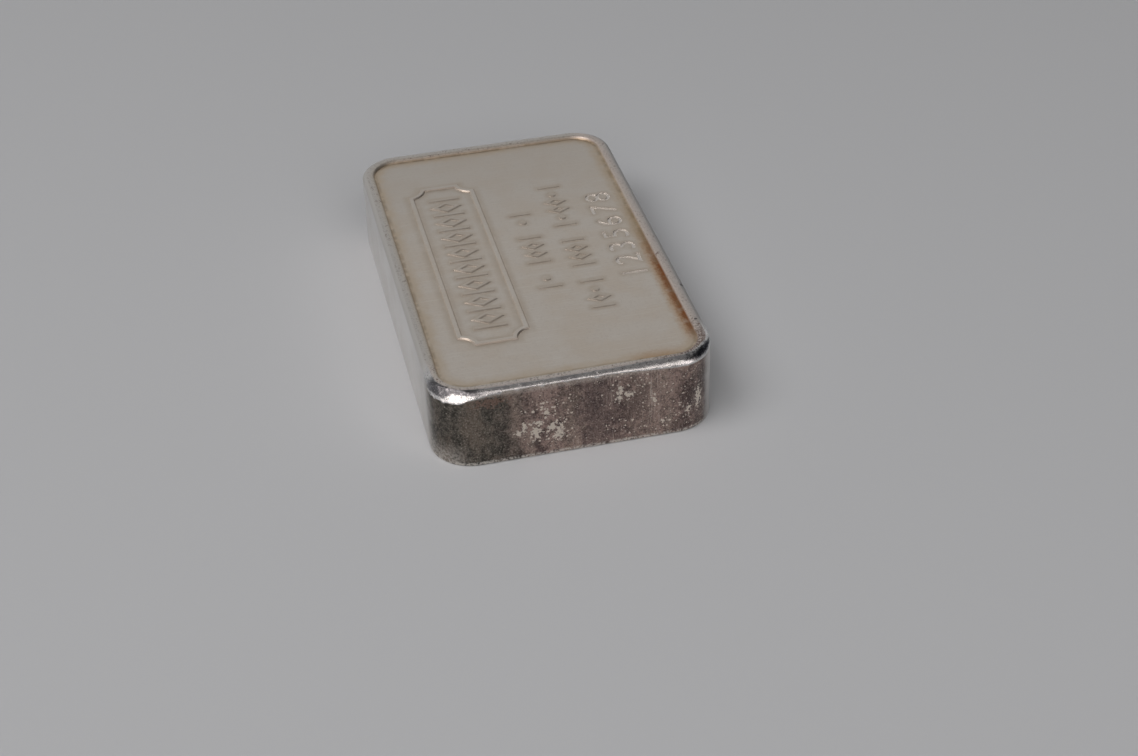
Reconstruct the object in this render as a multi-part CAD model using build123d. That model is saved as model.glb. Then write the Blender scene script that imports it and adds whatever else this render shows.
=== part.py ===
from build123d import *
import os
from math import radians, tan

# A struck silver bar that lies flat, one solid piece of metal. Its length runs along X, its
# width along Y, and its marked face is up. The origin is at the middle of the base.
# Every length is in millimetres and every angle in degrees.

# The blank: a thick slab with rounded upright corners and a soft edge round its base
bar_length = 65.3
bar_width = 39.0
bar_thickness = 12.15
corner_radius = 5.8
base_edge_radius = 0.5

# The rim that stands round the upper face: its outer rounding, its level crown and its inner lip
rim_edge_radius = 0.7
rim_crown_width = 0.86
rim_lip_radius = 0.25

# The panel that the die sinks inside the rim, with walls that lean out as they rise
panel_depth = 0.4
panel_wall_lean = 40

# The raised frame on the panel: a long plaque with hollow corners, outlined by one ridge
frame_end_margin = 9.1
frame_side_margin = 3.85
frame_width = 10.2
frame_hollow_radius = 2.1
ridge_width = 0.9
ridge_height = 0.25
ridge_wall_lean = 45

# Sizes that follow from those above
panel_wall_run = panel_depth * tan(radians(panel_wall_lean))
rim_width = rim_edge_radius + rim_crown_width + panel_wall_run
panel_length = bar_length - 2 * rim_width
panel_width = bar_width - 2 * rim_width
panel_corner_radius = corner_radius - rim_width
panel_height = bar_thickness - panel_depth
frame_length = panel_length - 2 * frame_end_margin
frame_centre_y = panel_width / 2 - frame_side_margin - frame_width / 2


def edges_at_height(solid, height):
    """The edges of a solid that lie in the level plane at that height."""
    return solid.edges().filter_by_position(Axis.Z, height, height)


def make_blank():
    """The slab before it is struck, with its base and top edges rounded."""
    slab = extrude(RectangleRounded(bar_length, bar_width, corner_radius), bar_thickness)
    slab = fillet(edges_at_height(slab, 0), base_edge_radius)
    return fillet(edges_at_height(slab, bar_thickness), rim_edge_radius)


def make_die():
    """The metal that the die pushes out of the way: the panel, flaring up to the rim."""
    floor = RectangleRounded(panel_length, panel_width, panel_corner_radius)
    return extrude(Pos(Z=panel_height) * floor, panel_depth, taper=-panel_wall_lean)


def strike(blank):
    """The blank with the panel sunk into it, and the inner lip of the crown softened."""
    struck = blank - make_die()
    crown = struck.faces().sort_by(Axis.Z)[-1]
    lip = crown.inner_wires()[0].edges()
    return struck.fillet(rim_lip_radius, lip)


def make_frame():
    """The ridge round the plaque, standing on the panel with leaning walls."""
    plaque = Rectangle(frame_length, frame_width)
    plaque -= GridLocations(frame_length, frame_width, 2, 2) * Circle(frame_hollow_radius)
    outline = plaque - offset(plaque, -ridge_width)
    return extrude(Pos(0, frame_centre_y, panel_height) * outline, ridge_height, taper=ridge_wall_lean)


silver_bar = strike(make_blank()) + make_frame()

os.makedirs("parts", exist_ok=True)
export_step(silver_bar, "parts/silver_bar.step")
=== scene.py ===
import math

import bmesh
import bpy
from mathutils import Matrix, Vector, noise
from mathutils.bvhtree import BVHTree


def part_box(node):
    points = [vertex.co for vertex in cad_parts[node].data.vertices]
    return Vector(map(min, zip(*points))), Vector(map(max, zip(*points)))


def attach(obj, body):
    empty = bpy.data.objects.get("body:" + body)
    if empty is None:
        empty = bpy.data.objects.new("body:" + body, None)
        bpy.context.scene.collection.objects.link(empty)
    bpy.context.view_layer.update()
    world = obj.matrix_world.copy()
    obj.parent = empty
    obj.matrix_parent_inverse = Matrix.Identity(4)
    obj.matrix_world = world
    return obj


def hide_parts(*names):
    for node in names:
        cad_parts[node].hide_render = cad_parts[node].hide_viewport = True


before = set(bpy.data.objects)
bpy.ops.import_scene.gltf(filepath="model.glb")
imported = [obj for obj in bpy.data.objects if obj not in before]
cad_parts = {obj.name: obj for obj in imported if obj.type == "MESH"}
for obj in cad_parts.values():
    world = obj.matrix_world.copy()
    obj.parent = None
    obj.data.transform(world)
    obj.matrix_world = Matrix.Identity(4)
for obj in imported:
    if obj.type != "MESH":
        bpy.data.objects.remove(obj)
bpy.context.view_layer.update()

# Lengths are in metres, as the frame's are. Sizes read off the bar are in millimetres times this.
MM = 0.001
TINY = 0.01 * MM
# A face is level where its normal is at least this upright
LEVEL = 0.999

# The bar's overall size comes from the frame. Its length runs along X and its marked face is up.
bar_low, bar_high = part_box("silver_bar")
bar_length, bar_width, bar_thickness = bar_high - bar_low
half_length = bar_length / 2
half_width = bar_width / 2

# The blank's edges and the struck panel
corner_radius = 5.8 * MM
corner_steps = 32
base_edge_radius = 0.5 * MM
base_edge_steps = 4
rim_edge_radius = 0.7 * MM
rim_edge_steps = 10
# A little under a round profile, so that the shoulder keeps a crease where it meets the side
rim_edge_profile = 0.46
rim_crown_width = 0.86 * MM
rim_lip_offset = 0.12 * MM
rim_lip_steps = 3
panel_depth = 0.4 * MM
panel_wall_lean = math.radians(40)
panel_wall_run = panel_depth * math.tan(panel_wall_lean)
rim_width = rim_edge_radius + rim_crown_width + panel_wall_run
panel_height = bar_thickness - panel_depth
panel_half_length = half_length - rim_width
panel_half_width = half_width - rim_width

# How finely the rim, the sides and the panel are divided, so that wear can shape them
rim_spacing = 0.26 * MM
side_spacing = 0.55 * MM
panel_spacing = 0.5 * MM
# Edges that turn by less than this are shaded smooth
smoothing_angle = math.radians(32)

# The raised frame on the panel: a plaque with hollow corners, outlined by one ridge
frame_end_margin = 9.1 * MM
frame_side_margin = 3.85 * MM
frame_width = 10.2 * MM
frame_hollow_radius = 2.1 * MM
frame_hollow_steps = 64
ridge_width = 0.9 * MM
ridge_height = 0.2 * MM
frame_length = 2 * (panel_half_length - frame_end_margin)
frame_centre_y = panel_half_width - frame_side_margin - frame_width / 2

# The raised marks. They are rooted below the panel, and rise from a low foot with leaning walls.
mark_root = 0.3 * MM
mark_foot = 0.02 * MM
mark_height = 0.13 * MM
mark_wall_run = 0.2 * MM
crest_round = 0.05 * MM
crest_steps = 2
stroke = 0.75 * MM
lozenge_corners = 4
lozenge_size = (3.0 * MM, 4.8 * MM)
upright_size = (stroke, 4.8 * MM)
lozenge_pitch = 4.4 * MM
lozenge_count = 8
small_height = 0.11 * MM
small_wall_run = 0.17 * MM
small_stroke = 0.58 * MM
small_lozenge_size = (2.1 * MM, 3.5 * MM)
small_upright_size = (small_stroke, 3.5 * MM)
pellet_size = 1.3 * MM
pellet_steps = 16
small_pitch = 2.25 * MM
upper_row_y = -1.45 * MM
lower_row_y = -7.4 * MM
# Each row of small marks: I is an upright bar, V a lozenge, o a pellet and a space a gap
upper_row = "Io IVVI oI"
lower_row = "IVoI IVVI IoVVoI"

# The punched row: plain digits
digits = "1235678"
digit_row_y = -14.1 * MM
digit_start_x = -9.6 * MM
digit_pitch = 3.6 * MM
digit_height = 3.8 * MM
digit_depth = 0.16 * MM
# How tall a digit of the plain type face is at size 1
digit_face_height = 0.69
# Points of its outline that are closer than this are one
digit_merge = TINY / 10


def rounded_rectangle_distance(x, y, half_x, half_y, radius):
    """How far a point lies outside a rounded rectangle about the origin. Inside it is negative."""
    over_x = abs(x) - (half_x - radius)
    over_y = abs(y) - (half_y - radius)
    outside = math.hypot(max(over_x, 0), max(over_y, 0))
    return outside + min(max(over_x, over_y), 0) - radius


def inset_from_side(point):
    """How far inside the bar's outline, seen from above, a point lies."""
    return -rounded_rectangle_distance(point.x, point.y, half_length, half_width, corner_radius)


def smooth_step(value, start, end):
    """0 before start, 1 after end, and an even S curve between them."""
    share = min(max((value - start) / (end - start), 0), 1)
    return share * share * (3 - 2 * share)


def new_piece(name):
    """Name the primitive that was just added and enter edit mode with all of it selected."""
    piece = bpy.context.active_object
    piece.name = name
    bpy.ops.object.mode_set(mode="EDIT")
    bpy.ops.mesh.select_mode(type="FACE")
    bpy.ops.mesh.select_all(action="SELECT")
    return piece


def finish_edit():
    """Turn all faces outwards and leave edit mode."""
    bpy.ops.mesh.select_all(action="SELECT")
    bpy.ops.mesh.normals_make_consistent(inside=False)
    bpy.ops.object.mode_set(mode="OBJECT")


def pick_edges(test):
    """In edit mode, select only the edges whose two ends pass a test."""
    bpy.ops.mesh.select_mode(type="EDGE")
    bpy.ops.mesh.select_all(action="DESELECT")
    mesh = bmesh.from_edit_mesh(bpy.context.edit_object.data)
    for edge in mesh.edges:
        edge.select_set(test(edge.verts[0].co, edge.verts[1].co))
    bmesh.update_edit_mesh(bpy.context.edit_object.data)


def pick_faces(test):
    """In edit mode, select only the faces whose middle and normal pass a test."""
    bpy.ops.mesh.select_mode(type="FACE")
    bpy.ops.mesh.select_all(action="DESELECT")
    mesh = bmesh.from_edit_mesh(bpy.context.edit_object.data)
    for face in mesh.faces:
        face.select_set(test(face.calc_center_median(), face.normal))
    bmesh.update_edit_mesh(bpy.context.edit_object.data)


def level_at(height):
    """A test for edges that lie at one height."""
    return lambda a, b: abs(a.z - height) < TINY and abs(b.z - height) < TINY


def straight_along(axis, shortest):
    """A test for straight edges along one axis that are longer than a given length."""
    others = [i for i in range(3) if i != axis]

    def test(a, b):
        step = b - a
        return abs(step[axis]) > shortest and all(abs(step[i]) < TINY for i in others)

    return test


def facing_up_at(height):
    """A test for level faces that look up at one height."""
    return lambda middle, normal: normal.z > LEVEL and abs(middle.z - height) < TINY


def large_level_face(middle, normal):
    """A test for the panel and the base while each is a single face about the middle."""
    return abs(normal.z) > LEVEL and middle.xy.length < TINY


def on_lip(a, b):
    """A test for the edges where the rim's crown turns down to the panel."""
    lip_inset = rim_edge_radius + rim_crown_width
    at_top = level_at(bar_thickness)(a, b)
    return at_top and all(abs(inset_from_side(end) - lip_inset) < TINY for end in (a, b))


def make_blank():
    """The bar's slab: rounded upright corners, soft base edge, rolled rim and sunk panel."""
    bpy.ops.object.select_all(action="DESELECT")
    bpy.ops.mesh.primitive_cube_add(size=1)
    blank = new_piece("struck_bar")
    bpy.ops.transform.resize(value=(bar_length, bar_width, bar_thickness))
    bpy.ops.transform.translate(value=(0, 0, bar_thickness / 2))
    pick_edges(straight_along(2, bar_thickness / 2))
    bpy.ops.mesh.bevel(offset=corner_radius, segments=corner_steps, affect="EDGES")
    pick_edges(level_at(0))
    bpy.ops.mesh.bevel(offset=base_edge_radius, segments=base_edge_steps, affect="EDGES")
    pick_edges(level_at(bar_thickness))
    bpy.ops.mesh.bevel(
        offset=rim_edge_radius, segments=rim_edge_steps, profile=rim_edge_profile, affect="EDGES"
    )
    pick_faces(lambda middle, normal: large_level_face(middle, normal) and normal.z > 0)
    bpy.ops.mesh.inset(thickness=rim_crown_width)
    bpy.ops.mesh.inset(thickness=panel_wall_run, depth=-panel_depth)
    pick_edges(on_lip)
    bpy.ops.mesh.bevel(offset=rim_lip_offset, segments=rim_lip_steps, affect="EDGES")
    divide_blank()
    finish_edit()
    return blank


def divide_blank():
    """Divide the rim and sides into small quads, and the panel into a grid."""
    pick_faces(large_level_face)
    bpy.ops.mesh.delete(type="ONLY_FACE")
    straight_x = bar_length - 2 * corner_radius
    straight_y = bar_width - 2 * corner_radius
    wall = bar_thickness - rim_edge_radius - base_edge_radius
    for axis, straight, spacing in (
        (0, straight_x, rim_spacing),
        (1, straight_y, rim_spacing),
        (2, wall, side_spacing),
    ):
        pick_edges(straight_along(axis, straight / 2))
        bpy.ops.mesh.subdivide(number_cuts=round(straight / spacing) - 1)
    for height in (0, panel_height):
        pick_edges(level_at(height))
        bpy.ops.mesh.edge_face_add()
    cut_panel(0, panel_half_length)
    cut_panel(1, panel_half_width)


def cut_panel(axis, half_size):
    """Cut the panel across one axis at even spaces."""
    normal = Vector((0, 0, 0))
    normal[axis] = 1
    cuts = round(2 * half_size / panel_spacing)
    for cut in range(1, cuts):
        place = normal * (2 * cut / cuts - 1) * half_size
        pick_faces(facing_up_at(panel_height))
        bpy.ops.mesh.bisect(plane_co=place, plane_no=normal)


def raise_outline(height, wall_run):
    """Raise the selected flat faces out of the panel, with leaning walls and a soft crest."""
    bpy.ops.mesh.extrude_region_move(TRANSFORM_OT_translate={"value": (0, 0, mark_root + mark_foot)})
    bpy.ops.mesh.inset(thickness=wall_run, depth=height - mark_foot)
    bpy.ops.mesh.region_to_loop()
    bpy.ops.mesh.bevel(offset=crest_round, segments=crest_steps, affect="EDGES")
    finish_edit()


def cut_to_ring(width):
    """Leave only a ring of that width of the selected flat face, and select it."""
    bpy.ops.mesh.inset(thickness=width)
    bpy.ops.mesh.delete(type="FACE")
    bpy.ops.mesh.select_all(action="SELECT")


def start_flat(name, size, steps=None):
    """A flat outline at the root of the marks: a rectangle, or a round or lozenge of some steps."""
    bpy.ops.object.select_all(action="DESELECT")
    if steps is None:
        bpy.ops.mesh.primitive_plane_add(size=1)
    else:
        bpy.ops.mesh.primitive_circle_add(vertices=steps, radius=0.5, fill_type="NGON")
    piece = new_piece(name)
    bpy.ops.transform.resize(value=(size[0], size[1], 1))
    bpy.ops.transform.translate(value=(0, 0, panel_height - mark_root))
    return piece


def make_hollows(radius, lean, low, high):
    """The four tapered plugs that hollow out a plaque's corners, joined."""
    hollows = []
    for x in (-frame_length / 2, frame_length / 2):
        for y in (-frame_width / 2, frame_width / 2):
            bpy.ops.object.select_all(action="DESELECT")
            bpy.ops.mesh.primitive_cone_add(
                vertices=frame_hollow_steps,
                radius1=radius + lean * (low - mark_foot),
                radius2=radius + lean * (high + mark_foot),
                depth=high - low + 2 * mark_foot,
            )
            hollow = new_piece("hollow")
            bpy.ops.transform.translate(value=(x, y, panel_height + (low + high) / 2))
            finish_edit()
            hollows.append(hollow)
    return join(hollows, "hollows")


def make_plaque(name, inset, hollow_radius, lean):
    """A block as long and wide as the frame less an inset, its corners hollowed out about the frame's
    corners. Its walls lean in by half a right angle as they rise, or out where lean is -1."""
    low, high = -mark_root, ridge_height
    length = frame_length - 2 * (inset + lean * low)
    width = frame_width - 2 * (inset + lean * low)
    taper = 2 * lean * (high - low)
    block = start_flat(name, (length, width))
    bpy.ops.mesh.extrude_region_move(TRANSFORM_OT_translate={"value": (0, 0, high - low)})
    bpy.ops.transform.resize(value=(1 - taper / length, 1 - taper / width, 1))
    finish_edit()
    combine(block, "DIFFERENCE", make_hollows(hollow_radius, lean, low, high))
    return block


def make_frame_ridge():
    """The ridge round the plaque: the plaque's block with a smaller one cut out of it."""
    ridge = make_plaque("frame_ridge", 0, frame_hollow_radius, 1)
    field = make_plaque("frame_field", ridge_width, frame_hollow_radius + ridge_width, -1)
    combine(ridge, "DIFFERENCE", field)
    ridge.data.transform(Matrix.Translation((0, frame_centre_y, 0)))
    return ridge


def make_lozenge(name, size, width, height, wall_run):
    """A lozenge drawn by one raised line."""
    lozenge = start_flat(name, size, lozenge_corners)
    cut_to_ring(width)
    raise_outline(height, wall_run)
    return lozenge


def make_upright(name, size, height, wall_run):
    """A plain upright bar."""
    upright = start_flat(name, size)
    raise_outline(height, wall_run)
    return upright


def make_pellet():
    """A small round stud."""
    pellet = start_flat("pellet", (pellet_size, pellet_size), pellet_steps)
    raise_outline(small_height, small_wall_run)
    return pellet


def put_copy(mark, x, y):
    """A copy of a mark, with its own mesh, at a place on the panel."""
    copy = mark.copy()
    copy.data = mark.data.copy()
    copy.data.transform(Matrix.Translation((x, y, 0)))
    bpy.context.scene.collection.objects.link(copy)
    return copy


def join(pieces, name):
    """Join pieces into one."""
    bpy.ops.object.select_all(action="DESELECT")
    for piece in pieces:
        piece.select_set(True)
    bpy.context.view_layer.objects.active = pieces[0]
    bpy.ops.object.join()
    pieces[0].name = name
    return pieces[0]


def remove(pieces):
    """Delete pieces that were only patterns for others."""
    for piece in pieces:
        bpy.data.objects.remove(piece)


def apply_modifiers(piece):
    """Apply every modifier of a piece, in order."""
    bpy.ops.object.select_all(action="DESELECT")
    bpy.context.view_layer.objects.active = piece
    piece.select_set(True)
    for modifier in list(piece.modifiers):
        bpy.ops.object.modifier_apply(modifier=modifier.name)


def combine(piece, operation, tool):
    """Join a tool to a piece or cut it out of it, and delete the tool."""
    cut = piece.modifiers.new("cut", "BOOLEAN")
    cut.operation = operation
    cut.object = tool
    cut.solver = "EXACT"
    apply_modifiers(piece)
    remove([tool])


def make_relief():
    """Every raised mark on the panel, joined: the frame, its row of lozenges, and the two small rows."""
    lozenge = make_lozenge("lozenge", lozenge_size, stroke, mark_height, mark_wall_run)
    upright = make_upright("upright", upright_size, mark_height, mark_wall_run)
    small = {
        "V": make_lozenge(
            "small_lozenge", small_lozenge_size, small_stroke, small_height, small_wall_run
        ),
        "I": make_upright("small_upright", small_upright_size, small_height, small_wall_run),
        "o": make_pellet(),
    }
    marks = [make_frame_ridge()]
    row_start = -lozenge_pitch * (lozenge_count - 1) / 2
    for number in range(lozenge_count):
        marks.append(put_copy(lozenge, row_start + number * lozenge_pitch, frame_centre_y))
    for number in range(lozenge_count + 1):
        marks.append(put_copy(upright, row_start + (number - 0.5) * lozenge_pitch, frame_centre_y))
    for row, y in ((upper_row, upper_row_y), (lower_row, lower_row_y)):
        row_start = -small_pitch * (len(row) - 1) / 2
        for number, mark in enumerate(row):
            if mark != " ":
                marks.append(put_copy(small[mark], row_start + number * small_pitch, y))
    remove([lozenge, upright, *small.values()])
    return join(marks, "relief")


def make_digits():
    """The punches of the row of digits, joined."""
    punches = []
    for number, digit in enumerate(digits):
        bpy.ops.object.select_all(action="DESELECT")
        bpy.ops.object.text_add()
        text = bpy.context.active_object
        text.data.body = digit
        text.data.align_x = "CENTER"
        text.data.align_y = "CENTER"
        text.data.size = digit_height / digit_face_height
        text.data.extrude = digit_depth
        bpy.ops.object.convert(target="MESH")
        punch = bpy.context.active_object
        place = (digit_start_x + number * digit_pitch, digit_row_y, panel_height)
        punch.data.transform(Matrix.Translation(place))
        punches.append(punch)
    row = join(punches, "punches")
    bpy.ops.object.mode_set(mode="EDIT")
    bpy.ops.mesh.select_all(action="SELECT")
    bpy.ops.mesh.remove_doubles(threshold=digit_merge)
    bpy.ops.object.mode_set(mode="OBJECT")
    return row


# Wear on the rim. At the near end the shoulder slopes further in, and drops lower towards the corners. The
# side below it is squeezed down to a settled depth. Slopes and shoulders are multiples of the plain rim's.
settled_depth = 4 * MM
worn_from_x = -22 * MM
worn_to_x = -27 * MM
shoulder_slope = 1.4
widest_slope = 1.85
narrow_shoulder = 0.8
left_shoulder = 1.3
left_from_y = 10.5 * MM
left_to_y = 15 * MM
right_shoulder = 2.1
right_from_y = -2 * MM
right_to_y = -18 * MM
right_from_x = -28.5 * MM
right_to_x = -31 * MM
# The flats that knocks left on the near left corner: which way each faces, how far it tilts up, both in
# degrees, and how deep it cuts below the corner's sharp edge
flats = (
    (4, 26, 0.45 * MM),
    (15, 26, 0.57 * MM),
    (31, 27, 0.84 * MM),
    (46, 22, 0.71 * MM),
    (60, 18, 0.59 * MM),
    (72, 14, 0.46 * MM),
)
# How much of the metal beyond a flat is pressed in
flat_share = 0.93
# The fine hammering of the shoulder: how deep and how wide a dent is, how far in and down from the edge it
# reaches, and how much of it there is away from the near end
hammer_depth = 0.035 * MM
hammer_size = 0.42 * MM
hammer_reach = 1.9 * MM
hammer_share_elsewhere = 0.12
# Small knocks along the near edge, and dirty ones on the right: where each is, how far it reaches and how
# deep it goes, in millimetres
near_knocks = (
    ((-32.4, -2.4, 11.9), 0.7, 0.14),
    ((-32.5, 4.9, 11.8), 0.5, 0.1),
    ((-32.5, 8.3, 11.8), 0.6, 0.1),
    ((-32.5, 10.6, 11.7), 0.5, 0.12),
    ((-32.5, 1.6, 11.8), 0.5, 0.08),
    ((-31.6, -15.4, 11.8), 0.6, 0.1),
)
right_knocks = (
    ((-15.1, -19.15, 12.0), 0.42, 0.15),
    ((-23.9, -18.55, 12.1), 0.3, 0.08),
)


def outward(point):
    """Which way is out of the bar's outline, seen from above."""
    over_x = abs(point.x) - (half_length - corner_radius)
    over_y = abs(point.y) - (half_width - corner_radius)
    if over_x > 0 and over_y > 0:
        way = Vector((over_x, over_y, 0)).normalized()
    elif over_x > over_y:
        way = Vector((1, 0, 0))
    else:
        way = Vector((0, 1, 0))
    return Vector((math.copysign(way.x, point.x), math.copysign(way.y, point.y), 0))


def shape_shoulder(blank):
    """Make the rim's shoulder narrower along the near edge and broader at the near corners."""
    reach = rim_edge_radius + TINY
    for vertex in blank.data.vertices:
        point = vertex.co
        inset = inset_from_side(point)
        drop = bar_thickness - point.z
        if inset < reach and drop < settled_depth:
            near = smooth_step(-point.x, -worn_from_x, -worn_to_x)
            left = smooth_step(point.y, left_from_y, left_to_y)
            right = smooth_step(-point.y, -right_from_y, -right_to_y)
            right *= smooth_step(-point.x, -right_from_x, -right_to_x)
            share = narrow_shoulder
            share += left * (left_shoulder - narrow_shoulder)
            share += right * (right_shoulder - narrow_shoulder)
            slope = near * (min(shoulder_slope * max(1, share), widest_slope) - 1)
            unsettled = min(1, (settled_depth - drop) / (settled_depth - rim_edge_radius))
            lower = min(drop, rim_edge_radius) * unsettled * near * (share - 1)
            vertex.co = point - outward(point) * inset * slope - Vector((0, 0, lower))


def press_flats(blank):
    """Press flats on the rim's near left corner, each with a crisp crease round it."""
    corner = Vector((corner_radius - half_length, half_width - corner_radius, bar_thickness))
    for heading, tilt, depth in flats:
        heading = math.radians(heading)
        tilt = math.radians(tilt)
        way = Vector((-math.cos(heading), math.sin(heading), 0))
        facing = way * math.cos(tilt) + Vector((0, 0, math.sin(tilt)))
        place = corner + way * corner_radius - facing * depth
        bpy.ops.object.mode_set(mode="EDIT")
        pick_faces(lambda middle, normal: (middle - place).length < 2 * corner_radius)
        bpy.ops.mesh.bisect(plane_co=place, plane_no=facing, threshold=TINY)
        bpy.ops.object.mode_set(mode="OBJECT")
        for vertex in blank.data.vertices:
            beyond = (vertex.co - place).dot(facing)
            if beyond > 0:
                vertex.co -= facing * beyond * flat_share


def hammer(blank):
    """Dent the rim's shoulder finely and unevenly, most at the near end."""
    for vertex in blank.data.vertices:
        inset = inset_from_side(vertex.co)
        drop = bar_thickness - vertex.co.z
        if inset + drop < hammer_reach:
            near = smooth_step(-vertex.co.x, -worn_from_x, -worn_to_x)
            share = hammer_share_elsewhere + near * (1 - hammer_share_elsewhere)
            dent = (1 + noise.noise(vertex.co / hammer_size)) / 2
            vertex.co -= vertex.normal * hammer_depth * share * dent


def knock(blank):
    """Push small hollows into the rim."""
    middle = Vector((0, 0, bar_thickness / 2))
    for place, reach, depth in near_knocks + right_knocks:
        place = Vector(place) * MM
        inward = (middle - place).normalized()
        for vertex in blank.data.vertices:
            away = (vertex.co - place).length
            if away < reach * MM:
                vertex.co += inward * depth * MM * (1 - smooth_step(away, 0, reach * MM))


def search_tree(piece):
    """A tree that finds the point of a piece nearest to another."""
    return BVHTree.FromObject(piece, bpy.context.evaluated_depsgraph_get())


def keep_mark_distance(bar, marks):
    """Let each point of the bar know how far it is from the marks, in millimetres, for the toning there."""
    toning = bar.data.attributes.new("mark_distance", "FLOAT", "POINT")
    for number, vertex in enumerate(bar.data.vertices):
        away = toning_reach
        if vertex.co.z > panel_height - digit_depth - TINY:
            away = min(tree.find_nearest(vertex.co)[3] for tree in marks)
        toning.data[number].value = away / MM


# A point below the floors of the digits counts as this far from the marks
toning_reach = 3 * MM

bar = make_blank()
shape_shoulder(bar)
press_flats(bar)
hammer(bar)
knock(bar)
relief = make_relief()
punches = make_digits()
marks = [search_tree(relief), search_tree(punches)]
combine(bar, "UNION", relief)
combine(bar, "DIFFERENCE", punches)
bpy.ops.object.select_all(action="DESELECT")
bar.select_set(True)
bpy.context.view_layer.objects.active = bar
bpy.ops.object.shade_smooth_by_angle(angle=smoothing_angle)
keep_mark_distance(bar, marks)

# The sockets of a mix node that take the share, the first and the second, and the one that gives the result
colour_sockets = (0, 6, 7)
colour_result = 2
number_sockets = (0, 2, 3)
number_result = 0

# The panel's colours
satin = (0.80, 0.74, 0.67)
warm_satin = (0.78, 0.70, 0.61)
bright_line = (0.88, 0.84, 0.78)
dull_fleck = (0.66, 0.59, 0.52)
# Greyer colour towards the panel's far end: painted shade
far_painted_shade = (0.62, 0.58, 0.53)
mark_toning = (0.62, 0.53, 0.43)
border_toning = (0.70, 0.58, 0.44)
orange = (0.58, 0.33, 0.145)
deep_orange = (0.34, 0.13, 0.045)
pale_orange = (0.60, 0.39, 0.22)
golden = (0.52, 0.38, 0.23)
foot_brown = (0.34, 0.25, 0.15)
# Bare metal in the digits, made paler as a painted sheen that brightens their strokes
punched_silver_and_sheen = (0.93, 0.89, 0.84)

# The crown's colours
crown_silver = (0.70, 0.67, 0.635)
near_crown_silver = (0.81, 0.74, 0.695)
inner_crown_silver = (0.70, 0.645, 0.57)
right_crown_silver = (0.78, 0.69, 0.64)
crown_grey = (0.50, 0.48, 0.465)
crown_pit = (0.32, 0.28, 0.25)
# Painted glints: light specks that stand in for sparkling highlights
painted_crown_glint = (0.88, 0.86, 0.83)
crown_spot = (0.26, 0.17, 0.14)
burnt_brown = (0.24, 0.17, 0.15)

# The shoulder's colours
shoulder_silver = (0.70, 0.68, 0.65)
right_shoulder_silver = (0.45, 0.43, 0.42)
near_shoulder_silver = (0.84, 0.83, 0.82)
bluish_film = (0.55, 0.54, 0.56)
# Dark and grey on the near corners: black tarnish film, partly a painted dark reflection
dark_film_and_reflection = (0.085, 0.085, 0.095)
grey_film_and_reflection = (0.38, 0.37, 0.38)
shoulder_pit = (0.12, 0.11, 0.10)
dirt = (0.10, 0.09, 0.09)

# The colours of the sides, and of the near end's tarnish
side_silver = (0.79, 0.78, 0.76)
dull_side_silver = (0.72, 0.70, 0.67)
dimmed_silver = (0.42, 0.40, 0.38)
dark_tarnish = (0.13, 0.095, 0.09)
brown_tarnish = (0.40, 0.295, 0.26)
pale_streak = (0.46, 0.38, 0.32)
scratched_silver = (0.60, 0.52, 0.46)
black_tarnish = (0.06, 0.057, 0.05)
grey_tarnish = (0.19, 0.17, 0.145)
reddish_tarnish = (0.24, 0.18, 0.14)
pale_tarnish = (0.28, 0.25, 0.21)
under_rim_silver = (0.56, 0.50, 0.45)
red_stain = (0.30, 0.19, 0.15)
dark_dust = (0.05, 0.04, 0.036)
pale_dust = (0.74, 0.65, 0.57)
bare_silver = (0.80, 0.73, 0.64)
# The pale line along the base: rubbed metal, partly a painted reflection of the floor
base_silver_and_reflection = (0.82, 0.78, 0.72)
rubbed_silver = (0.70, 0.66, 0.61)

# How matt each part is, and how deep its fine unevenness goes
side_matt = 0.32
tarnish_matt = 0.46
far_shoulder_matt = 0.42
near_shoulder_matt = 0.22
crown_matt = 0.47
panel_matt = 0.44
punched_matt = 0.62
unevenness_depth = 0.012 * MM

# Where the parts of the bar fade in, from and to, in millimetres: along the bar, across it, up from its
# base, and in from its outline. Facings are how upright the surface's normal is.
shoulder_up = (9.6, 10.0)
shoulder_facing = (0.1, 0.26)
panel_inset = (1.62, 1.86)
punched_up = (11.745, 11.69)
crown_facing = (0.945, 0.982)
inner_lip_inset = (1.3, 1.5)
crown_inset = (0.5, 0.72)
near_end_along = (-23.0, -28.0)
left_corner_along = (-26.5, -28.5)
left_corner_across = (12.0, 14.5)
right_corner_along = (-29.0, -30.6)
right_corner_across = (-14.0, -16.5)
tarnish_along = (-25.0, -30.0)
tarnish_stop_across = (-16.0, -19.0)

# Where the toning of the panel fades in
# Where the panel's painted shade darkens it towards the far end
far_painted_shade_along = (0.0, 32.0)
mark_toning_reach = (0.9, 0.0)
crest_up = (11.84, 11.93)
border_inset = (4.1, 1.9)
foot_inset = (2.5, 2.05)
orange_inset = (3.9, 1.9)
deep_orange_inset = (3.2, 2.0)
orange_across = (-12.5, -15.5)
orange_along = (18.0, -10.0)
orange_stop_along = (-29.5, -24.5)
golden_along = (-10.0, 4.0)
pale_orange_inset = (4.4, 1.9)
pale_orange_along = (-26.5, -28.5)

# Where the finishes of the crown and the shoulder fade in
inner_crown_inset = (0.9, 1.7)
right_crown_across = (-13.0, -17.0)
right_edge_across = (-16.5, -18.0)
right_edge_inset = (1.35, 0.75)
burnt_across = (-10.0, -13.5)
left_dark_corner_across = (16.4, 18.0)
left_dark_corner_up = (11.3, 11.55)

# Where the finishes of the sides and of the tarnish fade in
dimmed_along = (-15.0, -26.0)
black_side_across = (5.0, 12.5)
under_rim_up = (10.6, 11.35)
base_edge_up = (0.85, 0.5)
rubbed_across = (14.5, 17.5)
rubbed_up = (4.0, 0.8)

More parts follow.
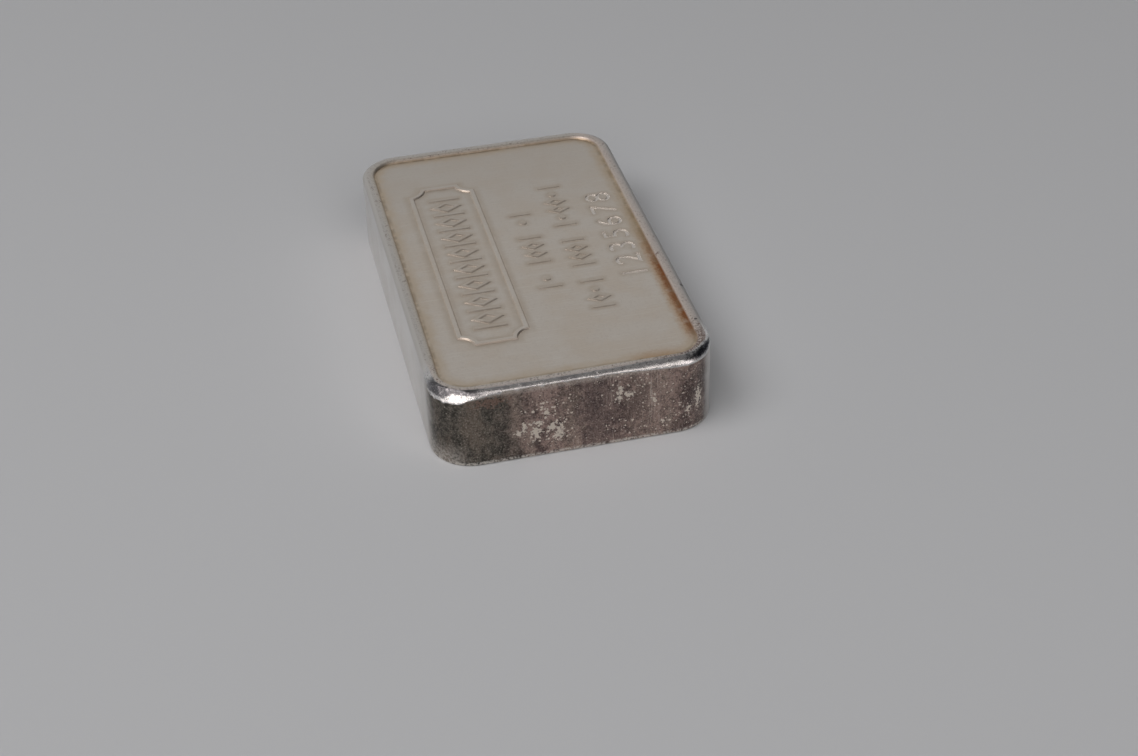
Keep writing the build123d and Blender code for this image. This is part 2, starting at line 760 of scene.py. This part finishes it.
# Bands from one place to another, and how soft their ends are
pale_orange_across = (-14.5, -8.5, 2.5)
right_dark_corner_up = (11.2, 11.95, 0.15)
dense_specks_across = (0.0, 8.0, 2.0)
dense_specks_up = (2.0, 9.6, 1.8)
sparse_specks_across = (-17.0, -2.0, 2.0)

# Bare patches on the tarnished end, and a red stain: where each is, across the bar and above its base, and
# its half sizes, in millimetres as all places of the finish are
bare_patches = (
    ((2.9, 3.7), (0.7, 1.3)),
    ((3.8, 4.7), (0.7, 0.7)),
    ((6.0, 4.1), (0.6, 1.0)),
    ((8.2, 4.4), (0.8, 0.45)),
    ((7.6, 5.5), (0.35, 0.7)),
    ((5.6, 5.6), (0.6, 0.4)),
    ((4.6, 7.2), (0.4, 0.6)),
    ((-5.6, 8.4), (0.35, 1.2)),
    ((-6.6, 7.9), (0.7, 0.5)),
    ((-16.6, 5.1), (0.45, 1.8)),
    ((-15.1, 3.6), (0.35, 0.9)),
    ((-10.3, 6.5), (0.25, 1.0)),
    ((-11.6, 2.6), (0.6, 0.35)),
)
stain_patch = ((12.0, 10.2), (2.2, 0.8))
# Broad upright streaks in its tarnish: where each is across the bar, its half width, strength and colour
streak_columns = (
    (-2.6, 2.2, 0.6, (0.15, 0.115, 0.11)),
    (1.0, 0.9, 0.35, (0.42, 0.34, 0.28)),
    (-9.6, 2.6, 0.35, (0.44, 0.34, 0.29)),
    (-17.2, 1.2, 0.5, (0.15, 0.13, 0.125)),
)
# Columns of scratches: from where to where across the bar, and how soft their sides are
scratch_columns = (
    (-5.4, -4.3, 0.4),
    (-10.9, -9.3, 0.5),
)


class FinishNodes:
    """Builds a finish out of shader nodes. Each method adds nodes and hands back what comes out of them."""

    def __init__(self, tree):
        self.tree = tree

    def add(self, kind, **settings):
        node = self.tree.nodes.new(kind)
        for name, value in settings.items():
            setattr(node, name, value)
        return node

    def feed(self, socket, source):
        """Link a socket to what another node gives, or set it to a plain value or colour."""
        if isinstance(source, bpy.types.NodeSocket):
            self.tree.links.new(source, socket)
        elif socket.type == "RGBA":
            socket.default_value = (*source, 1.0)
        else:
            socket.default_value = source

    def work_out(self, operation, first, second=0.0):
        node = self.add("ShaderNodeMath", operation=operation)
        self.feed(node.inputs[0], first)
        self.feed(node.inputs[1], second)
        return node.outputs[0]

    def plus(self, first, second):
        return self.work_out("ADD", first, second)

    def minus(self, first, second):
        return self.work_out("SUBTRACT", first, second)

    def times(self, *factors):
        total = factors[0]
        for factor in factors[1:]:
            total = self.work_out("MULTIPLY", total, factor)
        return total

    def most(self, *values):
        total = values[0]
        for value in values[1:]:
            total = self.work_out("MAXIMUM", total, value)
        return total

    def rest_of(self, share):
        """What is left of 1 after a share."""
        return self.minus(1.0, share)

    def slant(self, side, other):
        """The length of the slanting line over two sides at right angles."""
        return self.work_out("SQRT", self.plus(self.times(side, side), self.times(other, other)))

    def sway(self, cloud, amount, middle=0.5):
        """A cloud as a shift either way about its middle."""
        return self.times(self.minus(cloud, middle), amount)

    def rise(self, value, start, end, low=0.0, high=1.0):
        """Goes smoothly from low to high while the value goes from start to end."""
        node = self.add("ShaderNodeMapRange", interpolation_type="SMOOTHSTEP")
        for socket, source in zip(node.inputs, (value, start, end, low, high)):
            self.feed(socket, source)
        return node.outputs[0]

    def between(self, value, start, end, soft):
        """1 while the value is between two limits, with soft ends."""
        entering = self.rise(value, start - soft, start + soft)
        leaving = self.rise(value, end + soft, end - soft)
        return self.times(entering, leaving)

    def mix(self, kind, sockets, result, sources):
        node = self.add("ShaderNodeMix", data_type=kind)
        for socket, source in zip(sockets, sources):
            self.feed(node.inputs[socket], source)
        return node.outputs[result]

    def blend(self, share, first, second):
        """A colour that goes from the first to the second."""
        return self.mix("RGBA", colour_sockets, colour_result, (share, first, second))

    def blend_numbers(self, share, first, second):
        """A number that goes from the first to the second."""
        return self.mix("FLOAT", number_sockets, number_result, (share, first, second))

    def work_out_place(self, operation, place, other):
        node = self.add("ShaderNodeVectorMath", operation=operation)
        self.feed(node.inputs[0], place)
        self.feed(node.inputs[1], other)
        return node.outputs

    def stretch(self, place, amounts):
        return self.work_out_place("MULTIPLY", place, amounts)["Vector"]

    def shift(self, place, amounts):
        return self.work_out_place("ADD", place, amounts)["Vector"]

    def distance(self, place, other):
        return self.work_out_place("DISTANCE", place, other)["Value"]

    def parts(self, place):
        node = self.add("ShaderNodeSeparateXYZ")
        self.feed(node.inputs[0], place)
        return node.outputs

    def clouds(self, place, scale, detail=3.0, roughness=0.55):
        """Uneven clouds that go from 0 to 1, mostly near the middle."""
        node = self.add("ShaderNodeTexNoise")
        sources = (("Vector", place), ("Scale", scale), ("Detail", detail), ("Roughness", roughness))
        for name, source in sources:
            self.feed(node.inputs[name], source)
        return node.outputs[0]

    def specks(self, place, scale):
        """The distance to the nearest of many scattered points."""
        node = self.add("ShaderNodeTexVoronoi")
        self.feed(node.inputs["Vector"], place)
        self.feed(node.inputs["Scale"], scale)
        return node.outputs["Distance"]


class Coat:
    """A colour that is built up in layers."""

    def __init__(self, nodes, colour):
        self.nodes = nodes
        self.colour = colour

    def lay(self, colour, *shares):
        """Cover what is there with another colour, as far as all the shares together let it."""
        self.colour = self.nodes.blend(self.nodes.times(*shares), self.colour, colour)


class SilverFinish(FinishNodes):
    """The bar's silver. Places are in millimetres from the middle of the base: along the bar towards its
    far end, across it towards its left, and up. A part of the bar is a share, 1 on it and 0 off it."""

    def __init__(self, tree):
        super().__init__(tree)
        object_place = self.add("ShaderNodeTexCoord").outputs["Object"]
        self.place = self.stretch(object_place, (1 / MM, 1 / MM, 1 / MM))
        self.along, self.across, self.up = self.parts(self.place)
        self.inset = self.find_inset()
        self.find_clouds()
        self.find_parts()

    def find_inset(self):
        """How far a point lies inside the bar's outline, seen from above."""
        over_along = self.minus(self.work_out("ABSOLUTE", self.along), (half_length - corner_radius) / MM)
        over_across = self.minus(self.work_out("ABSOLUTE", self.across), (half_width - corner_radius) / MM)
        outside = self.slant(self.most(over_along, 0.0), self.most(over_across, 0.0))
        inside = self.work_out("MINIMUM", self.most(over_along, over_across), 0.0)
        return self.minus(corner_radius / MM, self.plus(outside, inside))

    def find_clouds(self):
        """The clouds that several finishes share."""
        self.wide_cloud = self.clouds(self.place, 0.16)
        self.middle_cloud = self.clouds(self.place, 0.7, 4.0)
        self.fine_cloud = self.clouds(self.place, 2.6, 4.0, 0.6)
        self.mottling = self.clouds(self.place, 1.1, 5.0, 0.7)
        self.brushing = self.clouds(self.stretch(self.place, (5.0, 0.18, 1.0)), 1.0)
        self.rim_grain = self.clouds(self.shift(self.place, (1.0, 8.0, 2.0)), 3.2, 4.0, 0.7)

    def find_parts(self):
        """Which part of the bar a point is on."""
        facing_up = self.parts(self.add("ShaderNodeNewGeometry").outputs["Normal"])[2]
        self.above = self.times(self.rise(self.up, *shoulder_up), self.rise(facing_up, *shoulder_facing))
        self.panel = self.times(self.above, self.rise(self.inset, *panel_inset))
        self.punched = self.rise(self.up, *punched_up)
        level = self.most(self.rise(facing_up, *crown_facing), self.rise(self.inset, *inner_lip_inset))
        self.crown = self.times(self.above, level, self.rise(self.inset, *crown_inset))
        self.near_end = self.rise(self.along, *near_end_along)
        left = self.rise(self.across, *left_corner_across)
        self.left_corner = self.times(self.rise(self.along, *left_corner_along), left)
        right = self.rise(self.across, *right_corner_across)
        self.right_corner = self.times(self.rise(self.along, *right_corner_along), right)
        ragged_along = self.plus(self.along, self.sway(self.middle_cloud, 3.0))
        right_stop = self.rise(self.across, *tarnish_stop_across, 0.0, 4.6)
        self.tarnished = self.rise(self.plus(ragged_along, right_stop), *tarnish_along)

    def spot(self, middle, size, ragged):
        """A patch on the near end: 1 inside an oval about its middle, with a ragged edge."""
        side = self.work_out("DIVIDE", self.minus(self.across, middle[0]), size[0])
        height = self.work_out("DIVIDE", self.minus(self.up, middle[1]), size[1])
        return self.rise(self.plus(self.slant(side, height), ragged), 1.1, 0.95)

    def panel_coat(self):
        """Satin with faint lines across it, painted greyer towards the far end as shade, toned near its
        border and marks, and bare with a painted sheen in the digits.
        """
        coat = Coat(self, satin)
        coat.lay(warm_satin, self.rise(self.wide_cloud, 0.35, 0.65))
        coat.lay(bright_line, self.rise(self.brushing, 0.5, 0.75), 0.45)
        coat.lay(dull_fleck, self.rise(self.fine_cloud, 0.5, 0.36), 0.22)
        ragged_along = self.plus(self.along, self.times(self.middle_cloud, 6.0))
        # The panel is painted greyer towards its far end, a painted shade
        coat.lay(far_painted_shade, self.rise(ragged_along, *far_painted_shade_along), 0.45)
        mark_away = self.add("ShaderNodeAttribute", attribute_name="mark_distance").outputs["Fac"]
        below_crests = self.rest_of(self.rise(self.up, *crest_up))
        halo_cloud = self.rise(self.middle_cloud, 0.25, 0.6, 0.45, 1.0)
        coat.lay(mark_toning, self.rise(mark_away, *mark_toning_reach), below_crests, halo_cloud, 0.6)
        ragged_inset = self.plus(self.inset, self.sway(self.middle_cloud, 1.6))
        border_cloud = self.clouds(self.shift(self.place, (9.0, 2.0, 0.0)), 0.45, 5.0, 0.65)
        border_share = self.rise(border_cloud, 0.3, 0.6, 0.45, 0.85)
        coat.lay(border_toning, self.rise(ragged_inset, *border_inset), border_share)
        self.lay_orange(coat, border_cloud)
        foot = self.rise(self.inset, *foot_inset)
        coat.lay(foot_brown, foot, self.rise(self.middle_cloud, 0.35, 0.6), 0.45)
        # The digits get bare metal, paler than it is, partly a painted sheen
        coat.lay(punched_silver_and_sheen, self.punched)
        return coat.colour

    def lay_orange(self, coat, border_cloud):
        """The orange toning along the panel's right border and by its near right corner."""
        ragged_inset = self.plus(self.inset, self.sway(self.fine_cloud, 1.2))
        near_border = self.rise(ragged_inset, *pale_orange_inset)
        by_corner = self.between(self.across, *pale_orange_across)
        coat.lay(pale_orange, near_border, self.rise(self.along, *pale_orange_along), by_corner, 0.7)
        toning = Coat(self, orange)
        toning.lay(deep_orange, self.rise(ragged_inset, *deep_orange_inset))
        toning.lay(golden, self.rise(self.along, *golden_along))
        coat.lay(
            toning.colour,
            self.rise(ragged_inset, *orange_inset),
            self.rise(self.across, *orange_across),
            self.rise(self.along, *orange_along, 0.3, 1.0),
            self.rise(self.along, *orange_stop_along),
            self.rise(border_cloud, 0.28, 0.5, 0.6, 1.0),
        )

    def crown_coat(self):
        """Matt silver, warmer towards the panel and on the right, with pits, painted glints and brown spots.
        """
        coat = Coat(self, crown_silver)
        coat.lay(near_crown_silver, self.near_end)
        coat.lay(inner_crown_silver, self.rise(self.inset, *inner_crown_inset))
        uneven = self.rise(self.middle_cloud, 0.3, 0.55, 0.5, 1.0)
        coat.lay(right_crown_silver, self.rise(self.across, *right_crown_across), uneven, 0.8)
        right_edge = self.rise(self.across, *right_edge_across)
        coat.lay(crown_grey, right_edge, self.rise(self.inset, *right_edge_inset), uneven, 0.5)
        pits = self.rise(self.rim_grain, 0.5, 0.36)
        coat.lay(crown_pit, pits, self.blend_numbers(self.near_end, 0.28, 0.7))
        # Light specks from the grain are painted glints
        painted_glints = self.rise(self.rim_grain, 0.56, 0.7)
        coat.lay(painted_crown_glint, painted_glints, self.blend_numbers(self.near_end, 0.15, 0.5))
        spots = self.rise(self.fine_cloud, 0.58, 0.66)
        coat.lay(crown_spot, spots, self.rise(self.wide_cloud, 0.42, 0.55), 0.75)
        burnt = self.times(self.near_end, self.rise(self.across, *burnt_across))
        coat.lay(burnt_brown, burnt, self.rise(self.rim_grain, 0.6, 0.46), 0.8)
        return coat.colour

    def side_coat(self):
        """Clean silver, dimmed towards the near end, which the tarnish covers."""
        coat = Coat(self, side_silver)
        coat.lay(dull_side_silver, self.rise(self.wide_cloud, 0.35, 0.7))
        uneven = self.rise(self.middle_cloud, 0.3, 0.6, 0.6, 1.0)
        coat.lay(dimmed_silver, self.rise(self.along, *dimmed_along), uneven, 0.4)
        coat.lay(self.tarnish_coat(), self.tarnished)
        return coat.colour

    def tarnish_coat(self):
        """Brown tarnish with streaks and scratches, black on the left, dusty, and worn off in places."""
        shading_place = self.stretch(self.shift(self.place, (2.0, 4.0, 3.0)), (0.4, 0.4, 0.17))
        shading = self.clouds(shading_place, 1.0, 4.0, 0.6)
        tone = self.plus(self.times(self.mottling, 0.5), self.times(shading, 0.5))
        ragged_across = self.plus(self.across, self.sway(self.middle_cloud, 7.0))
        black_side = self.rise(ragged_across, *black_side_across)
        coat = Coat(self, dark_tarnish)
        coat.lay(brown_tarnish, self.rise(tone, 0.42, 0.58))
        for middle, reach, share, colour in streak_columns:
            coat.lay(colour, self.between(ragged_across, middle - reach, middle + reach, reach), share)
        streaks = self.clouds(self.stretch(self.place, (0.5, 0.5, 0.08)), 1.0, 4.0, 0.6)
        coat.lay(pale_streak, self.rise(streaks, 0.5, 0.68), 0.45)
        self.lay_scratches(coat)
        coat.lay(self.black_tarnish_coat(tone, shading), black_side)
        under_rim = self.rise(self.up, *under_rim_up)
        coat.lay(under_rim_silver, under_rim, self.rise(self.fine_cloud, 0.3, 0.55, 0.35, 1.0), 0.7)
        self.lay_worn_spots(coat, black_side)
        return coat.colour

    def lay_scratches(self, coat):
        """Upright scratches, faint all over and clear in two columns."""
        scratches = self.clouds(self.stretch(self.place, (1.0, 4.5, 0.16)), 1.0, 2.0)
        columns = [self.between(self.across, *column) for column in scratch_columns]
        coat.lay(scratched_silver, self.rise(scratches, 0.56, 0.66), self.most(0.15, *columns), 0.8)

    def black_tarnish_coat(self, tone, shading):
        """The black tarnish on the left of the near end."""
        coat = Coat(self, black_tarnish)
        coat.lay(grey_tarnish, self.rise(tone, 0.42, 0.62))
        coat.lay(reddish_tarnish, self.rise(shading, 0.45, 0.65), 0.35)
        coat.lay(pale_tarnish, self.rise(self.fine_cloud, 0.46, 0.62), 0.4)
        return coat.colour

    def lay_worn_spots(self, coat, black_side):
        """A red stain, dust, bare spots, a pale line along the base that is rubbed metal and partly a
        painted reflection of the floor, and metal rubbed bare low on the left corner.
        """
        patch_cloud = self.clouds(self.shift(self.place, (3.0, 7.0, 1.0)), 2.3, 4.0, 0.65)
        patch_edge = self.sway(patch_cloud, 6.0, 0.46)
        coat.lay(red_stain, self.spot(*stain_patch, patch_edge), 0.6)
        dust = self.clouds(self.shift(self.place, (5.0, 1.0, 9.0)), 4.2, 3.0, 0.65)
        coat.lay(dark_dust, self.rise(dust, 0.47, 0.34), 0.65)
        coat.lay(pale_dust, self.rise(dust, 0.55, 0.68), self.blend_numbers(black_side, 0.45, 0.3))
        bare = self.find_specks(patch_cloud)
        for middle, size in bare_patches:
            bare = self.most(bare, self.spot(middle, size, patch_edge))
        coat.lay(bare_silver, bare, 0.92)
        # The pale line along the base is partly a painted reflection of the floor
        base_edge = self.rise(self.up, *base_edge_up)
        coat.lay(base_silver_and_reflection, base_edge, self.rise(self.fine_cloud, 0.38, 0.58), 0.75)
        low_left = self.times(self.rise(self.across, *rubbed_across), self.rise(self.up, *rubbed_up))
        coat.lay(rubbed_silver, low_left, self.rise(self.fine_cloud, 0.36, 0.58, 0.25, 1.0), 0.6)

    def find_specks(self, patch_cloud):
        """Specks where the tarnish has flaked off, densest left of the middle and fewer on the right."""
        dense = self.between(self.across, *dense_specks_across)
        dense = self.times(dense, self.between(self.up, *dense_specks_up))
        sparse = self.times(self.between(self.across, *sparse_specks_across), 0.6)
        share = self.times(self.most(dense, sparse), self.rise(self.middle_cloud, 0.3, 0.52))
        size = self.times(share, 0.37)
        away = self.plus(self.specks(self.place, 1.8), self.sway(patch_cloud, 1.1))
        return self.rise(away, size, self.minus(size, 0.06))

    def shoulder_coat(self):
        """Pitted bright silver under a bluish film, dark on the corners with black tarnish and painted dark
        reflection, and dull away from the near end.
        """
        coat = Coat(self, shoulder_silver)
        coat.lay(right_shoulder_silver, self.rise(self.across, *right_edge_across))
        coat.lay(near_shoulder_silver, self.near_end)
        off_corner = self.times(self.near_end, self.rest_of(self.left_corner))
        coat.lay(bluish_film, off_corner, self.rise(self.middle_cloud, 0.42, 0.6), 0.6)
        height = self.plus(self.up, self.sway(self.rim_grain, 1.5))
        left_height = self.plus(height, self.rise(self.across, *left_dark_corner_across, 0.0, 0.75))
        # The near corners' dark colour is black tarnish film, partly a painted dark reflection
        corner_film_and_reflection = self.most(
            self.times(self.left_corner, self.rise(left_height, *left_dark_corner_up)),
            self.times(self.right_corner, self.between(height, *right_dark_corner_up)),
        )
        film_and_reflection_colour = self.blend(self.rise(self.rim_grain, 0.5, 0.64), dark_film_and_reflection, grey_film_and_reflection)
        coat.lay(film_and_reflection_colour, corner_film_and_reflection, 0.92)
        coat.lay(shoulder_pit, self.near_end, self.rise(self.rim_grain, 0.43, 0.34), 0.85)
        return coat.colour

    def whole_coat(self):
        """The finishes of all the bar's parts, one laid over another."""
        coat = Coat(self, self.side_coat())
        coat.lay(self.shoulder_coat(), self.above)
        coat.lay(self.crown_coat(), self.crown)
        for dent, reach, _ in right_knocks:
            coat.lay(dirt, self.rise(self.distance(self.place, dent), reach, reach / 2), 0.85)
        coat.lay(self.panel_coat(), self.panel)
        return coat.colour

    def roughness(self):
        """How matt each part is."""
        matt = self.blend_numbers(self.tarnished, side_matt, tarnish_matt)
        shoulder_matt = self.blend_numbers(self.near_end, far_shoulder_matt, near_shoulder_matt)
        matt = self.blend_numbers(self.above, matt, shoulder_matt)
        matt = self.blend_numbers(self.crown, matt, crown_matt)
        struck_matt = self.blend_numbers(self.punched, panel_matt, punched_matt)
        return self.blend_numbers(self.panel, matt, struck_matt)

    def unevenness(self):
        """Fine lines on the panel, hammering on the shoulder, and grain on the crown and sides."""
        hammering = self.clouds(self.place, 2.6, 4.0, 0.65)
        hammering = self.times(hammering, self.blend_numbers(self.near_end, 0.8, 4.5))
        crown_grain = self.times(self.rim_grain, self.blend_numbers(self.near_end, 1.2, 2.5))
        height = self.blend_numbers(self.above, self.times(self.mottling, 1.4), hammering)
        height = self.blend_numbers(self.crown, height, crown_grain)
        return self.blend_numbers(self.panel, height, self.brushing)


def make_silver():
    """Struck silver: satin panel with toning, matt crown, polished shoulder, and a tarnished near end."""
    material = bpy.data.materials.new("tarnished_silver")
    material.use_nodes = True
    finish = SilverFinish(material.node_tree)
    shader = material.node_tree.nodes["Principled BSDF"]
    finish.feed(shader.inputs["Base Color"], finish.whole_coat())
    shader.inputs["Metallic"].default_value = 1.0
    finish.feed(shader.inputs["Roughness"], finish.roughness())
    bump = finish.add("ShaderNodeBump")
    bump.inputs["Strength"].default_value = 1.0
    bump.inputs["Distance"].default_value = unevenness_depth
    finish.feed(bump.inputs["Height"], finish.unevenness())
    finish.feed(shader.inputs["Normal"], bump.outputs["Normal"])
    return material


bar.data.materials.clear()
bar.data.materials.append(make_silver())

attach(bar, "root")
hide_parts("silver_bar")

# The camera, as it stands in the photograph
camera_eye = Vector((-233.2, 45.8, 159.5)) * MM
camera_forward = Vector((0.7932, -0.1760, -0.5830)).normalized()
camera_up = Vector((0.5619, -0.1575, 0.8121))
camera_lens = 61.19
camera_sensor_width = 36
camera_clip_start = 10 * MM
camera_right = camera_forward.cross(camera_up).normalized()
camera_up = camera_right.cross(camera_forward)
camera_data = bpy.data.cameras.new("camera")
camera_data.lens = camera_lens
camera_data.sensor_width = camera_sensor_width
camera_data.clip_start = camera_clip_start
camera = bpy.data.objects.new("camera", camera_data)
camera.matrix_world = Matrix((
    (camera_right.x, camera_up.x, -camera_forward.x, camera_eye.x),
    (camera_right.y, camera_up.y, -camera_forward.y, camera_eye.y),
    (camera_right.z, camera_up.z, -camera_forward.z, camera_eye.z),
    (0, 0, 0, 1),
))
bpy.context.scene.collection.objects.link(camera)
bpy.context.scene.camera = camera

# The pale floor that the bar lies on, its size in metres
floor_size = 8
paper_colour = (0.57, 0.57, 0.582, 1)
paper_matt = 0.9
paper_gloss = 0.1
bpy.ops.object.select_all(action="DESELECT")
bpy.ops.mesh.primitive_plane_add(size=floor_size)
floor = bpy.context.active_object
floor.name = "floor"
paper = bpy.data.materials.new("paper")
paper.use_nodes = True
paper_shader = paper.node_tree.nodes["Principled BSDF"]
paper_shader.inputs["Base Color"].default_value = paper_colour
paper_shader.inputs["Roughness"].default_value = paper_matt
paper_shader.inputs["Specular IOR Level"].default_value = paper_gloss
floor.data.materials.append(paper)

# The studio, which shows only in reflections: a pale wall beyond the far end and dim walls elsewhere, dark
# on the right, under a grey ceiling that comes lower over the near end
dim_wall = (0.06, 0.06, 0.06)
pale_wall = (0.425, 0.425, 0.425)
dark_wall = (0.02, 0.022, 0.028)
grey_ceiling = (0.155, 0.15, 0.15)
ceiling_slope = 0.15
world = bpy.data.worlds.new("studio")
bpy.context.scene.world = world
world.use_nodes = True
room = FinishNodes(world.node_tree)
backdrop = world.node_tree.nodes["Background"]
ahead, left, high = room.parts(room.add("ShaderNodeTexCoord").outputs["Generated"])
walls = Coat(room, dim_wall)
walls.lay(pale_wall, room.rise(ahead, 0.1, 0.6))
walls.lay(dark_wall, room.rise(left, -0.62, -0.86), 0.92)
walls.lay(grey_ceiling, room.rise(room.minus(high, room.times(ahead, ceiling_slope)), 0.62, 0.86))
room.feed(backdrop.inputs["Color"], walls.colour)
backdrop.inputs["Strength"].default_value = 1.0
world.cycles_visibility.diffuse = False


def hang_light(name, heading, height, distance, size, power):
    """Hang a soft light that looks at the bar. Its heading turns from the near end towards the bar's left,
    and its height is above the floor, both in degrees."""
    heading = math.radians(heading)
    height = math.radians(height)
    lamp = bpy.data.lights.new(name, "AREA")
    lamp.shape = "RECTANGLE"
    lamp.size, lamp.size_y = size
    lamp.energy = power
    light = bpy.data.objects.new(name, lamp)
    light.location = distance * Vector((
        -math.cos(height) * math.cos(heading), math.cos(height) * math.sin(heading), math.sin(height)
    ))
    light.rotation_euler = (-light.location).to_track_quat("-Z", "Y").to_euler()
    bpy.context.scene.collection.objects.link(light)
    return light


# The main light hangs high on the left, with two fill lights, in front and overhead. All three stay out of
# the bar's reflections. Each has its heading, height, distance, size and power.
soft_lights = (
    ("main_light", 70, 57, 1.2, (0.7, 0.7), 5.9),
    ("front_fill", 6, 38, 1.8, (1.8, 1.2), 16.4),
    ("top_fill", 0, 88, 1.2, (1.2, 1.2), 1.0),
)
# Warm panels show only in reflections: the one just in front of the main light picks out the marks, and the
# others light the rim's edge and the flats on its corner
warm_white = (1, 0.92, 0.89)
warm_panels = (
    ("main_panel", 70, 57, 1.15, (0.67, 0.67), 3.2),
    ("corner_panel", 52, 16, 1.0, (1.8, 0.36), 5.0),
    ("front_panel", -14, 28, 1.0, (0.6, 0.5), 0.85),
    ("right_panel", -41, 13, 1.0, (0.35, 0.3), 1.2),
)
for light in soft_lights:
    hang_light(*light).visible_glossy = False
for light in warm_panels:
    warm_panel = hang_light(*light)
    warm_panel.visible_diffuse = False
    warm_panel.data.color = warm_white

bpy.context.scene.view_settings.view_transform = "Standard"
